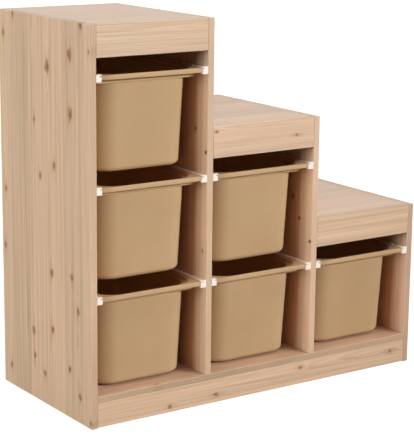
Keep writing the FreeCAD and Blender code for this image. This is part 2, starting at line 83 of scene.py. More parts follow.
class Graph:
    """Adds nodes to one shader tree and links them."""

    def __init__(self, tree: bpy.types.NodeTree) -> None:
        """Keeps the tree."""
        self.tree = tree

    def feed(self, socket: Socket, value: Value | None) -> None:
        """Links a socket or sets its own value.

        Args:
            socket: the input that is fed.
            value: an output to link, a plain value to set, or None to leave the input as it is.
        """
        if value is None:
            return
        if isinstance(value, Socket):
            self.tree.links.new(value, socket)
        else:
            socket.default_value = value

    def node(self, kind: str, *values: Value | None, **settings: object) -> bpy.types.Node:
        """Adds one node.

        Args:
            kind: the node's type.
            values: what its inputs take, in order.
            settings: the node's own options.

        Returns:
            The new node.
        """
        made = self.tree.nodes.new(kind)
        for name, setting in settings.items():
            setattr(made, name, setting)
        for socket, value in zip(made.inputs, values):
            self.feed(socket, value)
        return made

    def math(self, operation: str, *values: Value) -> Socket:
        """Returns the result of a Math node."""
        return self.node("ShaderNodeMath", *values, operation=operation).outputs[0]

    def vector(self, operation: str, *values: Value) -> Socket:
        """Returns the vector of a Vector Math node."""
        return self.node("ShaderNodeVectorMath", *values, operation=operation).outputs[0]

    def split(self, vector: Socket) -> list[Socket]:
        """Returns the x, y and z of a vector."""
        return list(self.node("ShaderNodeSeparateXYZ", vector).outputs)

    def join(self, *values: Value) -> Socket:
        """Returns the vector of three numbers."""
        return self.node("ShaderNodeCombineXYZ", *values).outputs[0]

    def sway(self, value: Socket, amount: float, base: Value) -> Socket:
        """Returns a base plus an amount of how far a value from 0 to 1 lies from its middle."""
        return self.math("MULTIPLY_ADD", self.math("SUBTRACT", value, 0.5), amount, base)

    def stretch(self, across: Socket, middle: Value, along: Socket, scale: tuple[float, float]) -> Socket:
        """Point for a noise that is drawn out along the grain.

        Args:
            across: the place across the grain.
            middle: the point's second number.
            along: the place along the grain.
            scale: how much across and along are multiplied by.

        Returns:
            The point.
        """
        wide, long = (self.math("MULTIPLY", place, times) for place, times in zip((across, along), scale))
        return self.join(wide, middle, long)

    def ramp(self, value: Socket, low: float, high: float, start: float = 0.0, end: float = 1.0) -> Socket:
        """Carries a value smoothly from one range to another.

        Args:
            value: the number to carry.
            low: where the result begins to change.
            high: where it stops.
            start: the result at low.
            end: the result at high.

        Returns:
            The result, which stays between start and end.
        """
        settings = {"interpolation_type": "SMOOTHSTEP", "clamp": True}
        return self.node("ShaderNodeMapRange", value, low, high, start, end, **settings).outputs[0]

    def noise(self, vector: Socket, scale: float, detail: float = 2.0, roughness: float = 0.5) -> Socket:
        """Cloudy value from 0 to 1 at points of space.

        Args:
            vector: the points.
            scale: how many clouds fit in a metre.
            detail: how many finer clouds are laid over them.
            roughness: how much the finer clouds count.

        Returns:
            The value.
        """
        made = self.node("ShaderNodeTexNoise", vector)
        made.inputs["Scale"].default_value = scale
        made.inputs["Detail"].default_value = detail
        made.inputs["Roughness"].default_value = roughness
        return made.outputs[0]

    def blend(self, share: Value, first: Value, second: Value, way: str = "MIX") -> Socket:
        """Mixes two colours.

        Args:
            share: how much of the second colour counts.
            first: the colour underneath.
            second: the colour on top.
            way: how they are mixed.

        Returns:
            The mixed colour.
        """
        made = self.node("ShaderNodeMix", share, data_type="RGBA", blend_type=way)
        self.feed(made.inputs[6], first)
        self.feed(made.inputs[7], second)
        return made.outputs[2]


class Effect:
    """A shader node group with named inputs and outputs, built once and placed in any material."""

    name = "effect"
    inputs: dict[str, str] = {}
    outputs: dict[str, str] = {}

    def __init__(self) -> None:
        """Makes the group's sockets and lets the subclass fill it."""
        self.tree = bpy.data.node_groups.new(self.name, "ShaderNodeTree")
        for label, kind in self.inputs.items():
            self.tree.interface.new_socket(label, in_out="INPUT", socket_type=kind)
        for label, kind in self.outputs.items():
            self.tree.interface.new_socket(label, in_out="OUTPUT", socket_type=kind)
        graph = Graph(self.tree)
        entry = graph.node("NodeGroupInput")
        results = self.fill(graph, {socket.name: socket for socket in entry.outputs})
        leave = graph.node("NodeGroupOutput")
        for label, socket in results.items():
            graph.feed(leave.inputs[label], socket)

    def fill(self, graph: Graph, given: dict[str, Socket]) -> dict[str, Socket]:
        """Adds the group's nodes.

        Args:
            graph: the group's own tree.
            given: the group's inputs by name.

        Returns:
            The group's outputs by name.
        """
        raise NotImplementedError

    def place(self, graph: Graph, values: dict[str, Value]) -> dict[str, Socket]:
        """Places the group in a material.

        Args:
            graph: the material's tree.
            values: what the inputs take, by name.

        Returns:
            The outputs by name.
        """
        made = graph.node("ShaderNodeGroup", node_tree=self.tree)
        for label, value in values.items():
            graph.feed(made.inputs[label], value)
        return {socket.name: socket for socket in made.outputs}


class KnotSwirl(Effect):
    """One knot: adds to the push that bends the rings round knots, and keeps the distance to the nearest."""

    name = "knot_swirl"
    inputs = {"Position": VECTOR, "Across": NUMBER, "Along": NUMBER, "Radius": NUMBER,
              "Push": NUMBER, "Near": NUMBER}
    outputs = {"Push": NUMBER, "Near": NUMBER}
    knot_length = 1.45
    swirl_length = 2.8
    swirl_spread = 4.5
    swirl_rings = 1.2

    def fill(self, graph: Graph, given: dict[str, Socket]) -> dict[str, Socket]:
        """Distance in knot radii, shorter along the grain, and a bell-shaped push that reaches far along it.

        Args:
            graph: the group's own tree.
            given: the group's inputs by name.

        Returns:
            The push and the distance, with this knot counted in.
        """
        across, _, along = graph.split(given["Position"])
        side = graph.math("DIVIDE", graph.math("SUBTRACT", across, given["Across"]), given["Radius"])
        ahead = graph.math("DIVIDE", graph.math("SUBTRACT", along, given["Along"]), given["Radius"])
        squared = graph.math("MULTIPLY", side, side)
        near = graph.math("DIVIDE", ahead, self.knot_length)
        near = graph.math("SQRT", graph.math("MULTIPLY_ADD", near, near, squared))
        reach = graph.math("DIVIDE", ahead, self.swirl_length)
        reach = graph.math("MULTIPLY_ADD", reach, reach, squared)
        bell = graph.math("EXPONENT", graph.math("DIVIDE", reach, -self.swirl_spread))
        return {"Push": graph.math("MULTIPLY_ADD", bell, self.swirl_rings, given["Push"]),
                "Near": graph.math("MINIMUM", near, given["Near"])}


class PineGrain(Effect):
    """Flat-sawn pine: each glued stave cuts its own set of year rings, with fibres, glue lines and knots.

    A grain is how often a noise repeats in a metre, across and along the board.
    """

    name = "pine_grain"
    inputs = {"Position": VECTOR, "Push": NUMBER, "Near": NUMBER,
              "Seed": NUMBER, "Stave": NUMBER, "Ring": NUMBER,
              "Early Wood": COLOR, "Late Wood": COLOR, "Blush": COLOR, "Knot Wood": COLOR, "Knot Bark": COLOR}
    outputs = SKIN
    stave_shift = 0.37
    stave_step = 3.1
    stave_tone = 0.10
    seed_step = 17.3
    wander_grain = (2.0, 1.6)
    wander_width = 0.03
    arch_place = 0.7
    arch_grain = 1.1
    arch_height = 0.045
    pith_scatter = 0.7
    pith_depth = (0.030, 0.014)
    ripple_grain = (60.0, 9.0)
    ripple_rings = 0.5
    late_rise = (0.25, 0.86)
    late_fall = (1.0, 0.9)
    late_height = 0.6
    late_rough = -0.08
    fibre_grain = (1500.0, 22.0)
    fibre_tone = 0.22
    fibre_height = 0.5
    fibre_rough = 0.14
    base_rough = 0.48
    streak_grain = (170.0, 2.4)
    streak_tone = -0.6
    band_grain = (52.0, 0.9)
    band_depth = 20.0
    blush_scatter = 0.35
    blush_range = (0.3, 0.7)
    glue_line = (0.0002, 0.0007, 0.86, 1.0)
    ragged_grain = (210.0, 60.0, 60.0)
    ragged_depth = 2.6
    tail_push = (0.15, 1.1)
    tail_streak = (0.4, 0.6, 0.0, 0.9)
    halo = (2.1, 0.8, 0.0, 0.7)
    bark_place = 0.9
    bark_ring = (0.22, 0.03, 0.0, 0.35)
    heart_spot = (0.5, 0.1, 0.0, 0.6)
    core_spot = (1.3, 0.5)
    core_share = 0.8
    core_height = 0.5
    core_rough = -0.12

    def fill(self, graph: Graph, given: dict[str, Socket]) -> dict[str, Socket]:
        """Ring number is the distance to a pith line that wanders, over the ring width, plus the knots' push.

        Args:
            graph: the group's own tree.
            given: the group's inputs by name.

        Returns:
            Colour, surface height and roughness.
        """
        across, through, along = graph.split(given["Position"])
        place = graph.math("DIVIDE", across, given["Stave"])
        place = graph.math("MULTIPLY_ADD", given["Seed"], self.stave_shift, place)
        stave = graph.math("FLOOR", place)
        local = graph.math("SUBTRACT", graph.math("FRACT", place), 0.5)
        key = graph.math("MULTIPLY_ADD", given["Seed"], self.seed_step, stave)
        chance = graph.node("ShaderNodeTexWhiteNoise", noise_dimensions="1D")
        graph.feed(chance.inputs["W"], key)
        first, second, third = graph.node("ShaderNodeSeparateColor", chance.outputs["Color"]).outputs
        shift = graph.math("MULTIPLY", key, self.stave_step)

        slow = graph.noise(graph.stretch(across, shift, along, self.wander_grain), 1.0, detail=1.0)
        arch = graph.join(shift, self.arch_place, graph.math("MULTIPLY", along, self.arch_grain))
        side = graph.math("MULTIPLY_ADD", first, -self.pith_scatter, self.pith_scatter / 2)
        side = graph.math("MULTIPLY", graph.math("ADD", local, side), given["Stave"])
        side = graph.sway(slow, self.wander_width, side)
        depth = graph.math("MULTIPLY_ADD", second, *self.pith_depth)
        depth = graph.sway(graph.noise(arch, 1.0, detail=1.0), self.arch_height, depth)
        depth = graph.math("ADD", through, depth)
        squared = graph.math("MULTIPLY_ADD", side, side, graph.math("MULTIPLY", depth, depth))
        rings = graph.math("DIVIDE", graph.math("SQRT", squared), given["Ring"])
        rings = graph.math("ADD", rings, given["Push"])
        ripple = graph.noise(graph.stretch(across, through, along, self.ripple_grain), 1.0)
        rings = graph.math("FRACT", graph.sway(ripple, self.ripple_rings, rings))
        late = graph.math("MULTIPLY", graph.ramp(rings, *self.late_rise), graph.ramp(rings, *self.late_fall))

        fine = graph.math("MULTIPLY", through, self.fibre_grain[0])
        fibre = graph.noise(graph.stretch(across, fine, along, self.fibre_grain), 1.0, roughness=0.6)
        streak = graph.stretch(across, graph.math("ADD", shift, through), along, self.streak_grain)
        streak = graph.noise(streak, 1.0, detail=3.0, roughness=0.55)
        band = graph.math("MULTIPLY_ADD", through, self.band_depth, shift)
        band = graph.noise(graph.stretch(across, band, along, self.band_grain), 1.0)
        rosy = graph.ramp(graph.sway(third, self.blush_scatter, band), *self.blush_range)
        ground = graph.blend(rosy, given["Early Wood"], given["Blush"])
        color = graph.blend(graph.math("MULTIPLY", late, streak), ground, given["Late Wood"])
        tone = graph.sway(first, self.stave_tone, 1.0)
        tone = graph.sway(fibre, self.fibre_tone, tone)
        tone = graph.sway(streak, self.streak_tone, tone)
        edge = graph.math("SUBTRACT", 0.5, graph.math("ABSOLUTE", local))
        glue = graph.ramp(graph.math("MULTIPLY", edge, given["Stave"]), *self.glue_line)
        tone = graph.math("MULTIPLY", tone, glue)
        color = graph.blend(1.0, color, graph.join(tone, tone, tone), "MULTIPLY")

        ragged = graph.vector("MULTIPLY", given["Position"], self.ragged_grain)
        ragged = graph.noise(ragged, 1.0, detail=3.0, roughness=0.6)
        near = graph.sway(ragged, self.ragged_depth, given["Near"])
        tail = graph.ramp(given["Push"], *self.tail_push)
        tail = graph.math("MULTIPLY", tail, graph.ramp(streak, *self.tail_streak))
        color = graph.blend(tail, color, given["Late Wood"])
        color = graph.blend(graph.ramp(near, *self.halo), color, given["Late Wood"])
        bark = graph.math("ABSOLUTE", graph.math("SUBTRACT", near, self.bark_place))
        heart = graph.math("MAXIMUM", graph.ramp(near, *self.heart_spot), graph.ramp(bark, *self.bark_ring))
        core = graph.ramp(near, *self.core_spot)
        color = graph.blend(graph.math("MULTIPLY", core, self.core_share), color, given["Knot Wood"])
        color = graph.blend(heart, color, given["Knot Bark"])

        height = graph.math("MULTIPLY", fibre, self.fibre_height)
        height = graph.math("MULTIPLY_ADD", late, self.late_height, height)
        height = graph.math("MULTIPLY_ADD", core, self.core_height, height)
        rough = graph.math("MULTIPLY_ADD", fibre, self.fibre_rough, self.base_rough)
        rough = graph.math("MULTIPLY_ADD", late, self.late_rough, rough)
        rough = graph.math("MULTIPLY_ADD", core, self.core_rough, rough)
        return {"Color": color, "Height": graph.math("MULTIPLY", height, glue), "Roughness": rough}


class EdgeRub(Effect):
    """Masks of a board's edges: Rub is 1 on its corners, Narrow is 1 on faces that are a thickness wide."""

    name = "edge_rub"
    inputs = {"Position": VECTOR, "Half Size": VECTOR, "Width": NUMBER, "Thickness Axis": VECTOR}
    outputs = {"Rub": NUMBER, "Narrow": NUMBER}
    patch_grain = 90.0
    patch_width = (1.2, 0.4)
    narrow_range = (0.0003, 0.0012)

    def fill(self, graph: Graph, given: dict[str, Socket]) -> dict[str, Socket]:
        """The second smallest distance to a box's three pairs of faces is the distance to its nearest edge.

        Args:
            graph: the group's own tree.
            given: the group's inputs by name.

        Returns:
            The two masks.
        """
        inside = graph.vector("SUBTRACT", given["Half Size"], graph.vector("ABSOLUTE", given["Position"]))
        under = graph.node("ShaderNodeVectorMath", inside, given["Thickness Axis"], operation="DOT_PRODUCT")
        x, y, z = graph.split(inside)
        middle = graph.math("MINIMUM", graph.math("MAXIMUM", x, y), z)
        middle = graph.math("MAXIMUM", graph.math("MINIMUM", x, y), middle)
        patchy = graph.noise(given["Position"], self.patch_grain)
        width = graph.math("MULTIPLY", given["Width"], graph.math("MULTIPLY_ADD", patchy, *self.patch_width))
        return {"Rub": graph.ramp(graph.math("DIVIDE", middle, width), 1.0, 0.0),
                "Narrow": graph.ramp(under.outputs["Value"], *self.narrow_range)}


class MouldedSkin(Effect):
    """Moulded plastic: fine texture of the mould, slow drift of tone, and patches of more or less gloss."""

    name = "moulded_skin"
    inputs = {"Position": VECTOR, "Dark": COLOR, "Light": COLOR, "Gloss": NUMBER}
    outputs = SKIN
    drift_grain = 7.0
    drift_share = 0.7
    speck_grain = 260.0
    speck_share = 0.3
    speck_rough = 0.12
    mould_grain = 1900.0
    mould_rough = 0.08
    tone_range = (0.3, 0.7)

    def fill(self, graph: Graph, given: dict[str, Socket]) -> dict[str, Socket]:
        """Two clouds of different size for tone and gloss, and a fine grain for the height.

        Args:
            graph: the group's own tree.
            given: the group's inputs by name.

        Returns:
            Colour, surface height and roughness.
        """
        drift = graph.noise(given["Position"], self.drift_grain)
        speck = graph.noise(given["Position"], self.speck_grain)
        grain = graph.noise(given["Position"], self.mould_grain, detail=1.0)
        share = graph.math("MULTIPLY", speck, self.speck_share)
        share = graph.math("MULTIPLY_ADD", drift, self.drift_share, share)
        color = graph.blend(graph.ramp(share, *self.tone_range), given["Dark"], given["Light"])
        rough = graph.sway(speck, self.speck_rough, given["Gloss"])
        return {"Color": color, "Height": grain, "Roughness": graph.sway(grain, self.mould_rough, rough)}


class PlatedSkin(Effect):
    """Bright plating: fine turning marks, dull patches and a roughness that follows them."""

    name = "plated_skin"
    inputs = {"Position": VECTOR, "Dull": COLOR, "Bright": COLOR}
    outputs = SKIN
    patch_grain = 160.0
    patch_range = (0.3, 0.7)
    patch_rough = -0.2
    mark_grain = (2600.0, 300.0, 300.0)
    mark_rough = (0.15, 0.38)

    def fill(self, graph: Graph, given: dict[str, Socket]) -> dict[str, Socket]:
        """Clouds for the patches and fine bands across the width for the turning marks.

        Args:
            graph: the group's own tree.
            given: the group's inputs by name.

        Returns:
            Colour, surface height and roughness.
        """
        patch = graph.noise(given["Position"], self.patch_grain, detail=3.0, roughness=0.6)
        marks = graph.noise(graph.vector("MULTIPLY", given["Position"], self.mark_grain), 1.0, detail=1.0)
        color = graph.blend(graph.ramp(patch, *self.patch_range), given["Dull"], given["Bright"])
        rough = graph.math("MULTIPLY_ADD", marks, *self.mark_rough)
        rough = graph.math("MULTIPLY_ADD", patch, self.patch_rough, rough)
        return {"Color": color, "Height": marks, "Roughness": rough}


@dataclass(frozen=True)
class Effects:
    """The shared effects that finishes draw on."""

    knot: KnotSwirl
    pine: PineGrain
    rub: EdgeRub
    moulded: MouldedSkin
    plated: PlatedSkin


@dataclass(frozen=True)
class Knot:
    """A knot in a board: its place across and along the grain, in the unit's frame, and its radius, in mm."""

    across: float
    along: float
    radius: float


def new_material(name: str) -> tuple[bpy.types.Material, Graph, bpy.types.Node]:
    """Makes a material with its shader.

    Args:
        name: the material's name.

    Returns:
        The material, its graph and its Principled node.
    """
    made = bpy.data.materials.new(name)
    made.use_nodes = True
    made.node_tree.nodes.clear()
    graph = Graph(made.node_tree)
    shader = graph.node("ShaderNodeBsdfPrincipled")
    graph.node("ShaderNodeOutputMaterial", shader.outputs[0])
    return made, graph, shader


def object_position(graph: Graph, centre: Point = (0.0, 0.0, 0.0)) -> Socket:
    """Object coordinates measured from a point.

    Args:
        graph: the material's tree.
        centre: the point, in metres.

    Returns:
        The position from that point.
    """
    place = graph.node("ShaderNodeTexCoord").outputs["Object"]
    return graph.vector("SUBTRACT", place, centre)


def dress(node: str, material: bpy.types.Material) -> None:
    """Gives a CAD node's object one material in place of all its own.

    Args:
        node: the node's name.
        material: what it is dressed in.
    """
    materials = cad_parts[node].data.materials
    materials.clear()
    materials.append(material)
    log.info("%s: %s", node, material.name)


def painted_warm_shade(graph: Graph, color: Socket, tint: Color) -> Socket:
    """Painted shade: the colour a surface lends to the light it throws on its neighbours, tinted so their
    shade turns warmer.

    Args:
        graph: the material's tree.
        color: the colour as it is seen.
        tint: what the colour is multiplied by for bounced light.

    Returns:
        The colour for the shader.
    """
    # painted shade: diffuse rays see the colour times the tint, so bounced light and the shade it fills are
    # warmer than the surface
    bounced = graph.node("ShaderNodeLightPath").outputs["Is Diffuse Ray"]
    return graph.blend(bounced, color, tint, "MULTIPLY")


def set_skin(graph: Graph, shader: bpy.types.Node, skin: dict[str, Socket], depth: float) -> None:
    """Feeds a shader with the colour, roughness and relief of a skin.

    Args:
        graph: the material's tree.
        shader: the Principled node.
        skin: sockets named Color, Roughness and Height.
        depth: how deep the relief is, in metres.
    """
    graph.feed(shader.inputs["Base Color"], skin["Color"])
    graph.feed(shader.inputs["Roughness"], skin["Roughness"])
    bump = graph.node("ShaderNodeBump")
    bump.inputs["Distance"].default_value = depth
    graph.feed(bump.inputs["Height"], skin["Height"])
    graph.feed(shader.inputs["Normal"], bump.outputs[0])


@dataclass(frozen=True)
class PineFinish:
    """Knotty pine with a thin matt lacquer. Sizes in metres."""

    effects: Effects
    early: Color = (0.636, 0.488, 0.334, 1.0)
    blush: Color = (0.642, 0.464, 0.340, 1.0)
    late: Color = (0.52, 0.345, 0.215, 1.0)
    knot_wood: Color = (0.27, 0.135, 0.07, 1.0)
    knot_bark: Color = (0.13, 0.062, 0.034, 1.0)
    worn: Color = (0.72, 0.55, 0.38, 1.0)
    stave: float = 0.082
    ring: float = 0.0034
    grain_height: float = 0.00012
    rub_width: float = 0.0015
    rub_share: float = 0.07
    edge_wood: Color = (0.62, 0.60, 0.58, 1.0)
    edge_share: float = 0.4
    # painted shade: tint of the light this pine throws on its neighbours, redder than the wood itself
    bounce: Color = (0.92, 0.84, 0.80, 1.0)
    lacquer_ior: float = 1.45
    lacquer_share: float = 0.3
    lacquer_roughness: float = 0.3

    def material(self, board: "Board", seed: float) -> bpy.types.Material:
        """Makes the pine of one board.

        Args:
            board: the board that is dressed.
            seed: a number that makes its grain its own.

        Returns:
            The material.
        """
        made, graph, shader = new_material(f"pine_{board.node}")
        centre, half = board.middle()
        place = object_position(graph, centre)
        axes = graph.split(place)
        grain = graph.join(*(axes[axis] for axis in board.lay.value))
        push: Value = 0.0
        near: Value = NO_KNOT_NEAR
        across_axis, through_axis, along_axis = board.lay.value
        for knot in board.knots:
            swirl = self.effects.knot.place(graph, {
                "Position": grain, "Across": knot.across * MM - centre[across_axis],
                "Along": knot.along * MM - centre[along_axis], "Radius": knot.radius * MM,
                "Push": push, "Near": near})
            push, near = swirl["Push"], swirl["Near"]
        pine = self.effects.pine.place(graph, {
            "Position": grain, "Push": push, "Near": near,
            "Seed": seed, "Stave": self.stave, "Ring": self.ring,
            "Early Wood": self.early, "Late Wood": self.late, "Blush": self.blush,
            "Knot Wood": self.knot_wood, "Knot Bark": self.knot_bark})
        thickness = tuple(float(axis == through_axis) for axis in range(3))
        edge = self.effects.rub.place(graph, {
            "Position": place, "Half Size": half, "Width": self.rub_width, "Thickness Axis": thickness})
        color = graph.blend(graph.math("MULTIPLY", edge["Rub"], self.rub_share), pine["Color"], self.worn)
        if board.dark_edges:
            share = graph.math("MULTIPLY", edge["Narrow"], self.edge_share)
            color = graph.blend(share, color, self.edge_wood, "MULTIPLY")
        # painted shade: light bounced off this board is tinted warmer than its own colour
        pine["Color"] = painted_warm_shade(graph, color, self.bounce)
        set_skin(graph, shader, pine, self.grain_height)
        shader.inputs["IOR"].default_value = self.lacquer_ior
        shader.inputs["Coat Weight"].default_value = self.lacquer_share
        shader.inputs["Coat Roughness"].default_value = self.lacquer_roughness
        return made


@dataclass(frozen=True)
class PlasticFinish:
    """Moulded plastic of one colour."""

    effects: Effects
    name: str
    dark: Color
    light: Color
    roughness: float
    texture_height: float
    # painted shade: tint of the light the plastic throws on its neighbours, warmer than the plastic itself
    bounce: Color
    ior: float = 1.49
    shine: float = 0.3

    def material(self) -> bpy.types.Material:
        """Makes the plastic.

        Returns:
            The material.
        """
        made, graph, shader = new_material(self.name)
        place = object_position(graph)
        skin = self.effects.moulded.place(graph, {
            "Position": place, "Dark": self.dark, "Light": self.light, "Gloss": self.roughness})
        # painted shade: light bounced off this plastic is tinted warmer than its own colour
        skin["Color"] = painted_warm_shade(graph, skin["Color"], self.bounce)
        set_skin(graph, shader, skin, self.texture_height)
        shader.inputs["IOR"].default_value = self.ior
        shader.inputs["Specular IOR Level"].default_value = self.shine
        return made


@dataclass(frozen=True)
class MetalFinish:
    """Plated steel or cast zinc."""

    effects: Effects
    name: str
    dull: Color
    bright: Color
    mark_height: float = 0.00004

    def material(self) -> bpy.types.Material:
        """Makes the metal.

        Returns:
            The material.
        """
        made, graph, shader = new_material(self.name)
        place = object_position(graph)
        skin = self.effects.plated.place(graph, {"Position": place, "Dull": self.dull, "Bright": self.bright})
        set_skin(graph, shader, skin, self.mark_height)
        shader.inputs["Metallic"].default_value = 1.0
        return made


@dataclass(frozen=True)
class BackBoardFinish:
    """Brown hardboard: matted fibres, flecks and a dull pressed face."""

    dark: Color = (0.17, 0.075, 0.03, 1.0)
    light: Color = (0.28, 0.135, 0.06, 1.0)
    fleck: Color = (0.36, 0.21, 0.11, 1.0)
    fibre_height: float = 0.00008
    mat_grain: float = 320.0
    mat_share: float = 0.7
    mat_rough: tuple[float, float] = (0.25, 0.55)
    cloud_grain: float = 12.0
    cloud_share: float = 0.3
    tone_range: tuple[float, float] = (0.32, 0.68)
    fibre_grain: Point = (900.0, 900.0, 210.0)
    fleck_range: tuple[float, ...] = (0.66, 0.78, 0.0, 0.6)

    def material(self) -> bpy.types.Material:
        """Makes the hardboard.

        Returns:
            The material.
        """
        made, graph, shader = new_material("back_board")
        place = object_position(graph)
        mat = graph.noise(place, self.mat_grain, detail=4.0, roughness=0.7)
        cloud = graph.noise(place, self.cloud_grain)
        fibres = graph.noise(graph.vector("MULTIPLY", place, self.fibre_grain), 1.0)
        share = graph.math("MULTIPLY", cloud, self.cloud_share)
        share = graph.math("MULTIPLY_ADD", mat, self.mat_share, share)
        color = graph.blend(graph.ramp(share, *self.tone_range), self.dark, self.light)
        color = graph.blend(graph.ramp(fibres, *self.fleck_range), color, self.fleck)
        rough = graph.math("MULTIPLY_ADD", mat, *self.mat_rough)
        set_skin(graph, shader, {"Color": color, "Roughness": rough, "Height": mat}, self.fibre_height)
        return made


@dataclass(frozen=True)
class DowelFinish:
    """Fluted beech: straight pale fibres with short dark flecks."""

    effects: Effects
    early: Color = (0.60, 0.43, 0.28, 1.0)
    late: Color = (0.48, 0.31, 0.18, 1.0)
    stave: float = 0.5
    ring: float = 0.0018
    seed: float = 3.0
    flute_height: float = 0.0001

    def material(self) -> bpy.types.Material:
        """Makes the beech, with its grain along the dowels.

        Returns:
            The material.
        """
        made, graph, shader = new_material("dowel_beech")
        place = object_position(graph)
        along, across, through = graph.split(place)
        wood = self.effects.pine.place(graph, {
            "Position": graph.join(across, through, along), "Push": 0.0, "Near": NO_KNOT_NEAR,
            "Seed": self.seed, "Stave": self.stave, "Ring": self.ring,
            "Early Wood": self.early, "Late Wood": self.late, "Blush": self.early,
            "Knot Wood": self.late, "Knot Bark": self.late})
        set_skin(graph, shader, wood, self.flute_height)
        return made


@dataclass(frozen=True)
class Board:
    """A pine board of the frame, kept as the CAD made it."""

    node: str
    lay: Lay
    knots: tuple[Knot, ...]
    dark_edges: bool = False

    def middle(self) -> tuple[Point, Point]:
        """Returns the board's centre and half its sizes."""
        low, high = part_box(self.node)
        return tuple((low + high) / 2), tuple((high - low) / 2)


def scattered(node: str, lay: Lay, count: int, seed: int) -> Board:
    """A board whose knots fall by chance.

    Args:
        node: the board's name.
        lay: how it lies.
        count: how many knots it has.
        seed: the start of the chance numbers.

    Returns:
        The board.
    """
    low, high = (np.array(corner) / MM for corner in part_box(node))
    chance = np.random.default_rng(seed)
    across, _, along = lay.value
    places = chance.uniform(low, high, (count, 3))
    radii = chance.uniform(*KNOT_RADII, count)
    knots = tuple(Knot(spot[across], spot[along], radius) for spot, radius in zip(places, radii))
    return Board(node, lay, knots)


@dataclass
class PineFrame:
    """Side panels, dividers, deck, base rails, tops, fascias and back rails."""

    finish: PineFinish
    first_seed: float = 0.31
    base_knots: int = 5
    base_seed: int = 13
    rail_knots: int = 2
    rail_seed: int = 55

    def boards(self) -> list[Board]:
        """Lists the boards with their knots.

        Returns:
            Every pine board of the unit.
        """
        left_panel = (
            Knot(139, 903, 5), Knot(-170, 903, 5), Knot(189, 857, 5), Knot(-121, 836, 9), Knot(-21, 801, 9),
            Knot(-123, 706, 9.5), Knot(43, 672, 4), Knot(-48, 578, 6), Knot(18, 546, 5.5), Knot(188, 486, 5),
            Knot(194, 345, 5), Knot(-33, 326, 6), Knot(-126, 335, 5.5), Knot(-152, 262, 6), Knot(-35, 190, 6),
            Knot(58, 166, 6), Knot(54, 106, 5.5), Knot(6, 74, 5.5), Knot(-113, 117, 5.5), Knot(-158, 63, 6),
            Knot(173, 51, 5.5), Knot(-205, 851, 3.5), Knot(-206, 13, 3.5))
        right_panel = (
            Knot(-40, 330, 5), Knot(60, 250, 6.5), Knot(150, 120, 5), Knot(20, 60, 5), Knot(-120, 40, 5),
            Knot(120, 370, 5), Knot(-10, 180, 4), Knot(175, 300, 4), Knot(90, 30, 4))
        boards = [
            Board("side_panel_left", Lay.UPRIGHT, left_panel, True),
            Board("side_panel_right", Lay.UPRIGHT, right_panel, True),
            Board("divider_tall", Lay.UPRIGHT, (Knot(-193, 372, 3.5), Knot(-40, 420, 6), Knot(90, 760, 6),
                                                Knot(-30, 830, 5), Knot(130, 700, 5), Knot(60, 240, 5))),
            Board("divider_mid", Lay.UPRIGHT, (Knot(-133, 455, 5), Knot(30, 520, 6), Knot(120, 600, 5),
                                               Knot(-60, 590, 4), Knot(60, 240, 5))),
            Board("base_front_rail", Lay.FACING, (Knot(14, -260, 4), Knot(20, -131, 4.5), Knot(36, 410, 4.5),
                                                  Knot(44, 120, 3.5))),
            Board("base_deck", Lay.FLAT, (Knot(-205, -294, 4), Knot(40, 60, 6), Knot(-60, 300, 5)), True),
            Board("fascia_mid", Lay.FACING, (Knot(650, -137, 3), Knot(623, 94, 3.6))),
        ]
        boards += [scattered("base_back_rail", Lay.FACING, self.base_knots, self.base_seed)]
        boards += [Board(f"top_board_{column}", Lay.FLAT, ()) for column in COLUMNS]
        boards += [Board(f"fascia_{column}", Lay.FACING, ()) for column in ("tall", "low")]
        boards += [scattered(f"back_rail_{column}", Lay.FACING, self.rail_knots, self.rail_seed + place)
                   for place, column in enumerate(COLUMNS)]
        return boards

    def build(self) -> None:
        """Dresses every board in pine of its own."""
        for place, board in enumerate(self.boards()):
            dress(board.node, self.finish.material(board, place + self.first_seed))


@dataclass
class BackPanels:
    """Thin boards that close the columns behind."""

    finish: BackBoardFinish

    def build(self) -> None:
        """Dresses the three panels."""
        material = self.finish.material()
        for column in COLUMNS:
            dress(f"back_panel_{column}", material)


@dataclass
class Runners:
    """White grooved bars that carry the bins."""

    finish: PlasticFinish

    def build(self) -> None:
        """Dresses the twelve runners."""
        material = self.finish.material()
        for node in sorted(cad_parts):
            if node.startswith("runner_"):
                dress(node, material)


@dataclass
class Fasteners:
    """Dowels, bolts, cam locks and screws inside the joints."""

    wood: DowelFinish
    steel: MetalFinish
    zinc: MetalFinish

    def build(self) -> None:
        """Dresses the four groups."""
        dress("dowels", self.wood.material())
        steel = self.steel.material()
        dress("cam_bolts", steel)
        dress("divider_screws", steel)
        dress("cam_locks", self.zinc.material())


def corner_turn(steps: int) -> np.ndarray:
    """Angles of a quarter turn, from 0 to a right angle."""
    return np.linspace(0.0, math.pi / 2, steps)


def grid_faces(rows: int, columns: int) -> np.ndarray:
    """Quads between neighbouring rows of a grid whose columns close on themselves.

    Args:
        rows: number of rows.
        columns: number of points in each row.

    Returns:
        Four vertex numbers for each quad.
    """
    row, column = np.meshgrid(np.arange(rows - 1), np.arange(columns), indexing="ij")
    after = (column + 1) % columns
    quads = np.stack([row * columns + column, (row + 1) * columns + column,
                      (row + 1) * columns + after, row * columns + after], axis=-1)
    return quads.reshape(-1, 4)


def surface_object(name: str, points: np.ndarray, faces: list[list[int]], sharp: float) -> bpy.types.Object:
    """Puts points and faces in a mesh object at the origin, shaded smooth between its sharp edges.

    Args:
        name: the object's name.
        points: one row of x, y and z for each vertex, in metres.
        faces: vertex numbers of each face.
        sharp: angle over which an edge stays sharp, in radians.

    Returns:
        The object, linked to the scene.
    """
    mesh = bpy.data.meshes.new(name)
    mesh.from_pydata(points, [], faces)
    mesh.validate()
    mesh.shade_smooth()
    mesh.set_sharp_from_angle(angle=sharp)
    made = bpy.data.objects.new(name, mesh)
    bpy.context.scene.collection.objects.link(made)
    return made


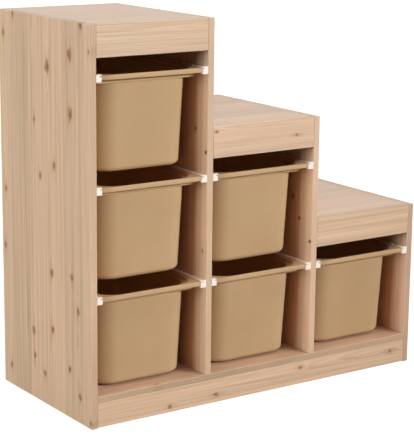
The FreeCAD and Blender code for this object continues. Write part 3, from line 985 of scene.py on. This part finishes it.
@dataclass
class Bin:
    """Khaki bin that hangs by its rim: a tapered tub, a square collar, and a lip in front. Sizes in mm."""

    node: str
    centre: float
    rim_top: float
    floor: float
    rim_front: float
    rim_length: float
    tongue_half: float
    lip_half: float = 132.0
    tongue_start: float = 5.0
    collar_half: float = 127.5
    overhang: float = 25.0
    ledge: float = 3.0
    corner: float = 52.0
    wall: float = 2.0
    side_taper: float = 6.0
    end_taper: float = 12.0
    floor_round: float = 10.0
    tray_setback: float = 4.0
    tray: float = 10.5
    mouth_round: float = 0.9
    rim: float = 1.8
    rim_round: float = 0.6
    rim_corner: float = 4.0
    collar: float = 22.0
    collar_corner: float = 2.5
    lip_height: float = 10.5
    lip_round: float = 1.2
    lip_draw: float = 0.4
    lip_shrink: float = 0.8
    guard: float = 1.0
    brink_round: float = 0.4
    collar_round: float = 0.5
    ease: float = 0.3
    crease: float = 40.0
    corner_steps: int = 13
    side_steps: int = 5
    round_steps: int = 6
    floor_steps: int = 7
    rim_steps: int = 4
    inner_rows: int = 7
    outer_rows: int = 9
    floor_rings: tuple[float, ...] = (0.85, 0.6, 0.3, 0.02)

    @classmethod
    def from_frame(cls, node: str) -> "Bin":
        """Takes a bin's place from its CAD node.

        Args:
            node: the bin's name.

        Returns:
            The bin.
        """
        low, high = (np.array(corner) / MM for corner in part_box(node))
        return cls(node=node, centre=(low[0] + high[0]) / 2, rim_top=high[2], floor=low[2], rim_front=low[1],
                   rim_length=high[1] - low[1], tongue_half=(high[0] - low[0]) / 2)

    def tub_outline(self, inset: np.ndarray, share: np.ndarray) -> np.ndarray:
        """Outlines of the tub, which shrinks evenly from the rim to the floor.

        Args:
            inset: how far each row lies inside the outer wall.
            share: each row's share of the full taper.

        Returns:
            Points in rows, with x and y.
        """
        half = self.collar_half - self.ledge - inset - self.side_taper * share
        near = self.overhang + self.ledge + inset + self.end_taper * share
        return self.outline(half, near, self.rim_length - near, self.corner - inset)

    def tray_outline(self, inset: np.ndarray) -> np.ndarray:
        """Outlines of the shallow tray that the mouth is sunk into.

        Args:
            inset: how far each row lies inside the tray's outer wall.

        Returns:
            Points in rows, with x and y.
        """
        near = self.tray_setback + inset
        radius = self.corner + self.wall - inset
        return self.outline(self.collar_half - inset, near, self.rim_length - near, radius)

    def outline(self, half: np.ndarray, near: np.ndarray, far: np.ndarray, radius: np.ndarray) -> np.ndarray:
        """Rounded rectangles: four quarter circles joined by straight sides, one outline for each row.

        Args:
            half: half the width of each row.
            near: each row's front, behind the rim's front.
            far: each row's back, behind the rim's front.
            radius: each row's corner radius.

        Returns:
            Points in rows, with x and y.
        """
        turn = corner_turn(self.corner_steps)
        half, near, far, radius = (np.asarray(size, float)[:, None] for size in (half, near, far, radius))
        cos, sin = np.cos(turn)[None], np.sin(turn)[None]
        right, left = half - radius, radius - half
        low, high = near + radius, far - radius
        corners = [
            np.stack([right + radius * sin, low - radius * cos], -1),
            np.stack([right + radius * cos, high + radius * sin], -1),
            np.stack([left - radius * sin, high + radius * cos], -1),
            np.stack([left - radius * cos, low - radius * sin], -1)]
        return self.with_sides(corners)

    def with_sides(self, corners: list[np.ndarray]) -> np.ndarray:
        """Joins four corners by points spaced evenly on the straight sides between them.

        Args:
            corners: each corner's points in rows.

        Returns:
            Points in rows, with x and y.
        """
        share = np.linspace(0.0, 1.0, self.side_steps + 2)[1:-1][None, :, None]
        pieces = []
        for here, after in zip(corners, corners[1:] + corners[:1]):
            start, end = here[:, -1:, :], after[:, :1, :]
            pieces += [here, start + (end - start) * share]
        return np.concatenate(pieces, axis=1)

    def rim_outline(self, inset: np.ndarray) -> np.ndarray:
        """Rim's edge: straight in front, a step out to the tongues behind the noses, rounded rear corners.

        Args:
            inset: how far each row lies inside the edge.

        Returns:
            Points in rows, with x and y.
        """
        inset = np.asarray(inset, float)[:, None]
        share = np.linspace(0.0, 2.0, self.corner_steps)[None]
        front_half = self.lip_half - inset - self.rim_round / 2
        start, step = self.lip_round, self.tongue_start + inset
        side = self.tongue_half - inset
        x = front_half + (side - front_half) * np.clip(share - 1.0, 0.0, 1.0)
        y = start + (step - start) * np.clip(share, 0.0, 1.0)
        turn = corner_turn(self.corner_steps)
        radius = self.rim_corner - inset
        middle = self.rim_length - self.rim_corner
        back_x = self.tongue_half - self.rim_corner + radius * np.cos(turn)[None]
        back_y = middle + radius * np.sin(turn)[None]
        corners = [np.stack([x, y], -1), np.stack([back_x, back_y], -1),
                   np.stack([-back_x[:, ::-1], back_y[:, ::-1]], -1), np.stack([-x[:, ::-1], y[:, ::-1]], -1)]
        return self.with_sides(corners)

    def tub_rows(self, inset: float, sink: np.ndarray, height: float) -> tuple[np.ndarray, np.ndarray]:
        """Wall of the tub: rounded rectangles that shrink evenly from the rim to the floor.

        Args:
            inset: how far the wall lies inside the outer wall.
            sink: each row's depth under the rim.
            height: depth at which the full taper is reached.

        Returns:
            Points in rows with x and y, and the depths again as heights.
        """
        return self.tub_outline(np.full_like(sink, inset), sink / height), -sink

    def floor_rows(self, inset: float, depth: float, full: float) -> tuple[np.ndarray, np.ndarray]:
        """Turn from the wall into the floor on a quarter circle, then rings that close on the middle.

        Args:
            inset: how far the wall lies inside the outer wall.
            depth: the floor's depth under the rim.
            full: depth at which the full taper is reached.

        Returns:
            Points in rows with x and y, and their heights.
        """
        turn = corner_turn(self.floor_steps)
        radius = self.floor_round - inset
        inward = inset + radius * (1 - np.cos(turn))
        sink = depth - radius * (1 - np.sin(turn))
        bend = self.tub_outline(inward, np.minimum(sink / full, 1.0))
        middle = np.array([0.0, self.rim_length / 2])
        rings = middle + (bend[-1:] - middle) * np.array(self.floor_rings)[:, None, None]
        return np.concatenate([bend, rings]), np.concatenate([-sink, np.full(len(rings), -depth)])

    def shell(self) -> np.ndarray:
        """Closed skin: from the middle of the inner floor up over tray, rim and collar to the outer floor.

        Returns:
            Points in rows with x, y and z, measured from the rim's front middle and top.
        """
        height = self.rim_top - self.floor
        inner_floor = height - self.wall
        seat = self.tray - self.rim
        floor, floor_z = self.floor_rows(self.wall, inner_floor, height)
        inner = np.linspace(inner_floor - self.floor_round, seat + self.guard, self.inner_rows)
        brink = self.tub_outline(self.wall - np.array([self.brink_round, self.guard]), np.zeros(2))
        brink_z = np.array([-self.brink_round, 0.0]) - seat
        turn = corner_turn(self.round_steps)
        inward = self.mouth_round * np.concatenate([[1.0, self.ease, 0.0], np.cos(turn) - 1])
        mouth = self.tray_outline(self.wall + inward)
        mouth_z = [seat, seat - self.ease, seat - self.guard]
        mouth_z = -np.concatenate([mouth_z, self.mouth_round * (1 - np.sin(turn))])
        turn = corner_turn(self.rim_steps)
        edge = self.rim_outline(self.rim_round * (1 - np.concatenate([np.sin(turn), np.cos(turn)])))
        drop = self.rim_round * (1 - np.cos(turn))
        edge_z = np.concatenate([-drop, drop[::-1] - self.rim])
        tray_z = -np.array([self.rim, self.rim + self.guard, self.tray - self.guard, self.tray])
        tray = self.tray_outline(np.zeros_like(tray_z))
        sink = np.array([self.tray, self.tray + self.guard, self.collar - self.guard,
                         self.collar - self.ease, self.collar])
        tuck = self.collar_round * np.array([0.0, 0.0, 0.0, self.ease, 1.0])
        near = self.overhang + tuck
        collar = self.outline(self.collar_half - tuck, near, self.rim_length - near,
                              np.full_like(sink, self.collar_corner))
        outer = np.linspace(self.collar, height - self.floor_round, self.outer_rows)
        parts = [(floor[::-1], floor_z[::-1]), self.tub_rows(self.wall, inner, height), (brink, brink_z),
                 (mouth, mouth_z), (edge, edge_z), (tray, tray_z), (collar, -sink),
                 self.tub_rows(0.0, outer, height), self.floor_rows(0.0, height, height)]
        plan = np.concatenate([part[0] for part in parts])
        levels = np.concatenate([part[1] for part in parts])
        return np.concatenate([plan, np.broadcast_to(levels[:, None, None], plan.shape[:2] + (1,))], axis=2)

    def lip(self) -> np.ndarray:
        """Front lip: a rounded strip section carried along the width and drawn in a little at both ends.

        Returns:
            Points in rows with x, y and z, measured from the rim's front middle and top.
        """
        turn = corner_turn(self.round_steps)
        top, low = self.lip_round, self.rim_round
        foot = low - self.lip_height
        section = np.concatenate([
            np.stack([top - top * np.sin(turn), top * np.cos(turn) - top], -1),
            np.stack([low - low * np.cos(turn), foot - low * np.sin(turn)], -1),
            np.stack([self.rim - low + low * np.sin(turn), foot - low * np.cos(turn)], -1),
            np.array([[self.rim, -self.rim], [self.rim, -self.rim / 2]])])[::-1]
        middle = np.array([self.rim / 2, -self.lip_height / 2])
        place = np.array([-1.0, -1.0, 1.0, 1.0]) * self.lip_half
        place += np.array([0.0, 1.0, -1.0, 0.0]) * self.lip_draw
        shrink = np.array([self.lip_shrink, 1.0, 1.0, self.lip_shrink])[:, None, None]
        rows = middle + (section - middle) * np.concatenate([np.sqrt(shrink), shrink], axis=2)
        across = np.broadcast_to(place[:, None, None], rows.shape[:2] + (1,))
        return np.concatenate([across, rows], axis=2)

    def build(self, material: bpy.types.Material) -> bpy.types.Object:
        """Makes the bin, dresses it and hangs it on its body.

        Args:
            material: the bin's plastic.

        Returns:
            The bin's object.
        """
        shell, lip = self.shell(), self.lip()
        rows, columns = shell.shape[:2]
        lip_rows, lip_columns = lip.shape[:2]
        points = np.concatenate([shell.reshape(-1, 3), lip.reshape(-1, 3)])
        points = (points + np.array([self.centre, self.rim_front, self.rim_top])) * MM
        start = rows * columns
        faces = grid_faces(rows, columns).tolist()
        faces += [list(range(columns)), list(range(start - columns, start))[::-1]]
        faces += (grid_faces(lip_rows, lip_columns) + start).tolist()
        end = start + lip_rows * lip_columns
        faces += [list(range(start, start + lip_columns)), list(range(end - lip_columns, end))[::-1]]
        made = surface_object(f"{self.node}_shell", points, faces, math.radians(self.crease))
        made.data.materials.append(material)
        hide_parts(self.node)
        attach(made, self.node)
        log.info("%s: %d points", made.name, len(points))
        return made


@dataclass
class Bins:
    """The six bins."""

    finish: PlasticFinish

    def build(self) -> None:
        """Makes each bin where its CAD node hangs."""
        material = self.finish.material()
        for node in sorted(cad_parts):
            if node.startswith("bin_"):
                Bin.from_frame(node).build(material)


@dataclass(frozen=True)
class Lamp:
    """A far light: its direction from the unit, strength, width in degrees, tint, and if gloss mirrors it."""

    name: str
    source: Point
    strength: float
    angle: float
    tint: Point = (1.0, 1.0, 1.0)
    mirrored: bool = True

    def hang(self) -> None:
        """Adds the light, turned towards the unit."""
        light = bpy.data.lights.new(self.name, "SUN")
        light.energy = self.strength
        light.angle = math.radians(self.angle)
        light.color = self.tint
        lamp = bpy.data.objects.new(self.name, light)
        lamp.visible_glossy = self.mirrored
        back = np.array(self.source) / np.linalg.norm(self.source)
        side = np.cross((0.0, 0.0, 1.0), back)
        side /= np.linalg.norm(side)
        turn = np.eye(4)
        turn[:3, :3] = np.stack([side, np.cross(back, side), back], axis=1)
        lamp.matrix_world = Matrix(turn.tolist())
        bpy.context.scene.collection.objects.link(lamp)


@dataclass
class Studio:
    """Pale floor, soft light and the camera."""

    floor_half: float = 30.0
    floor_cells: int = 8
    floor_grain: float = 3.0
    floor_rough: tuple[float, float] = (0.1, 0.7)
    floor_color: Color = (0.30, 0.23, 0.16, 1.0)
    floor_glow: float = 0.92
    wall_seen: Color = (0.92, 0.92, 0.92, 1.0)
    room_seen: Color = (0.3, 0.3, 0.3, 1.0)
    wall_edge: float = 0.3
    wall_bounce: Color = (0.085, 0.060, 0.045, 1.0)
    room_bounce: Color = (0.22, 0.066, 0.032, 1.0)
    lamps: tuple[Lamp, ...] = (
        Lamp("left_softbox", (-0.97, -0.08, 0.10), 2.28, 15.0, (0.96, 1.0, 1.0)),
        Lamp("top_softbox", (0.0, -0.1, 1.0), 1.17, 60.0),
        Lamp("rear_softbox", (0.45, 0.86, 0.18), 1.8, 40.0, mirrored=False))
    key_place: Point = (2.4, -4.8, 2.08)
    key_target: Point = (-1.1, -0.2, 0.42)
    key_power: float = 34.4
    key_width: float = 2.4
    key_height: float = 0.3
    key_spread: float = 60.0
    key_tint: Point = (0.955, 1.0, 1.0)
    camera_place: Point = (-2.1545, -3.0963, 1.2444)
    yaw: float = 34.62
    pitch: float = 12.69
    roll: float = 0.611
    focus: float = 1568.0
    far_end: float = 100.0

    def build(self) -> None:
        """Makes the floor, the lights and the camera."""
        self.lay_floor()
        self.light_sky()
        for lamp in self.lamps:
            lamp.hang()
        self.add_key_light()
        self.add_camera()

    def lay_floor(self) -> None:
        """Flat grid under the unit, in a plain pale paint."""
        cells = self.floor_cells
        line = np.linspace(-self.floor_half, self.floor_half, cells + 1)
        x, y = np.meshgrid(line, line, indexing="ij")
        points = np.stack([x, y, np.zeros_like(x)], -1).reshape(-1, 3)
        row, column = np.meshgrid(np.arange(cells), np.arange(cells), indexing="ij")
        corner = row * (cells + 1) + column
        faces = np.stack([corner, corner + cells + 1, corner + cells + 2, corner + 1], -1).reshape(-1, 4)
        floor = surface_object("studio_floor", points, faces.tolist(), math.pi)
        made, graph, shader = new_material("pale_floor")
        cloud = graph.noise(object_position(graph), self.floor_grain)
        graph.feed(shader.inputs["Roughness"], graph.math("MULTIPLY_ADD", cloud, *self.floor_rough))
        shader.inputs["Base Color"].default_value = self.floor_color
        shader.inputs["Emission Color"].default_value = WHITE
        seen = graph.node("ShaderNodeLightPath").outputs["Is Camera Ray"]
        graph.feed(shader.inputs["Emission Strength"], graph.math("MULTIPLY", seen, self.floor_glow))
        floor.data.materials.append(made)

    def light_sky(self) -> None:
        """Light from all round: a pale wall behind the unit and a dim, warm room in front of it."""
        world = bpy.data.worlds.new("studio")
        world.use_nodes = True
        graph = Graph(world.node_tree)
        sky = world.node_tree.nodes["Background"]
        ray = graph.node("ShaderNodeLightPath").outputs
        toward = graph.split(graph.node("ShaderNodeTexCoord").outputs["Generated"])[1]
        behind = graph.ramp(toward, -self.wall_edge, self.wall_edge)
        shown = graph.math("MAXIMUM", behind, ray["Is Camera Ray"])
        seen = graph.blend(shown, self.room_seen, self.wall_seen)
        bounce = graph.blend(behind, self.room_bounce, self.wall_bounce)
        graph.feed(sky.inputs["Color"], graph.blend(ray["Is Diffuse Ray"], seen, bounce))
        bpy.context.scene.world = world

    def add_key_light(self) -> None:
        """Wide, low softbox in front, turned past the unit's left end, so its light thins to the right."""
        light = bpy.data.lights.new("key_softbox", "AREA")
        light.shape = "RECTANGLE"
        light.size = self.key_width
        light.size_y = self.key_height
        light.spread = math.radians(self.key_spread)
        light.energy = self.key_power
        light.color = self.key_tint
        lamp = bpy.data.objects.new("key_softbox", light)
        toward = Vector(self.key_target) - Vector(self.key_place)
        turn = toward.to_track_quat("-Z", "Y").to_matrix().to_4x4()
        lamp.matrix_world = Matrix.Translation(self.key_place) @ turn
        bpy.context.scene.collection.objects.link(lamp)

    def add_camera(self) -> None:
        """Camera turned by yaw, then pitched down, then rolled about its own line of sight."""
        yaw, pitch, roll = (math.radians(angle) for angle in (self.yaw, self.pitch, self.roll))
        ahead = np.array([math.sin(yaw) * math.cos(pitch), math.cos(yaw) * math.cos(pitch), -math.sin(pitch)])
        level = np.array([math.cos(yaw), -math.sin(yaw), 0.0])
        rise = np.cross(level, ahead)
        right = math.cos(roll) * level + math.sin(roll) * rise
        up = math.cos(roll) * rise - math.sin(roll) * level
        turn = np.eye(4)
        turn[:3, :3] = np.stack([right, up, -ahead], axis=1)
        turn[:3, 3] = self.camera_place
        lens = bpy.data.cameras.new("camera")
        lens.sensor_width = SENSOR
        lens.lens = self.focus / PHOTO_HEIGHT * SENSOR
        lens.clip_end = self.far_end
        camera = bpy.data.objects.new("camera", lens)
        camera.matrix_world = Matrix(turn.tolist())
        bpy.context.scene.collection.objects.link(camera)
        bpy.context.scene.camera = camera


def main() -> None:
    """Builds and dresses the unit, piece by piece, and then its studio."""
    logging.basicConfig(level=logging.INFO, format="%(message)s")
    bpy.context.scene.view_settings.view_transform = "Standard"
    effects = Effects(KnotSwirl(), PineGrain(), EdgeRub(), MouldedSkin(), PlatedSkin())
    # the bounce tints below are painted shade: they redden the light the plastics throw into the bins and
    # bays
    khaki = PlasticFinish(
        effects, "khaki_plastic",
        dark=(0.482, 0.343, 0.187, 1.0), light=(0.522, 0.374, 0.209, 1.0), roughness=0.58,
        texture_height=0.00005, bounce=(1.5, 1.12, 0.98, 1.0))
    white = PlasticFinish(
        effects, "white_plastic",
        dark=(0.90, 0.87, 0.80, 1.0), light=(0.93, 0.90, 0.84, 1.0), roughness=0.5,
        texture_height=0.00003, bounce=(1.0, 0.9, 0.85, 1.0))
    steel = MetalFinish(
        effects, "plated_steel",
        dull=(0.20, 0.16, 0.11, 1.0), bright=(0.42, 0.34, 0.24, 1.0))
    zinc = MetalFinish(
        effects, "cast_zinc",
        dull=(0.36, 0.37, 0.38, 1.0), bright=(0.55, 0.56, 0.58, 1.0))
    for part in (PineFrame(PineFinish(effects)), BackPanels(BackBoardFinish()), Runners(white), Bins(khaki),
                 Fasteners(DowelFinish(effects), steel, zinc), Studio()):
        part.build()


if __name__ == "__main__":
    main()
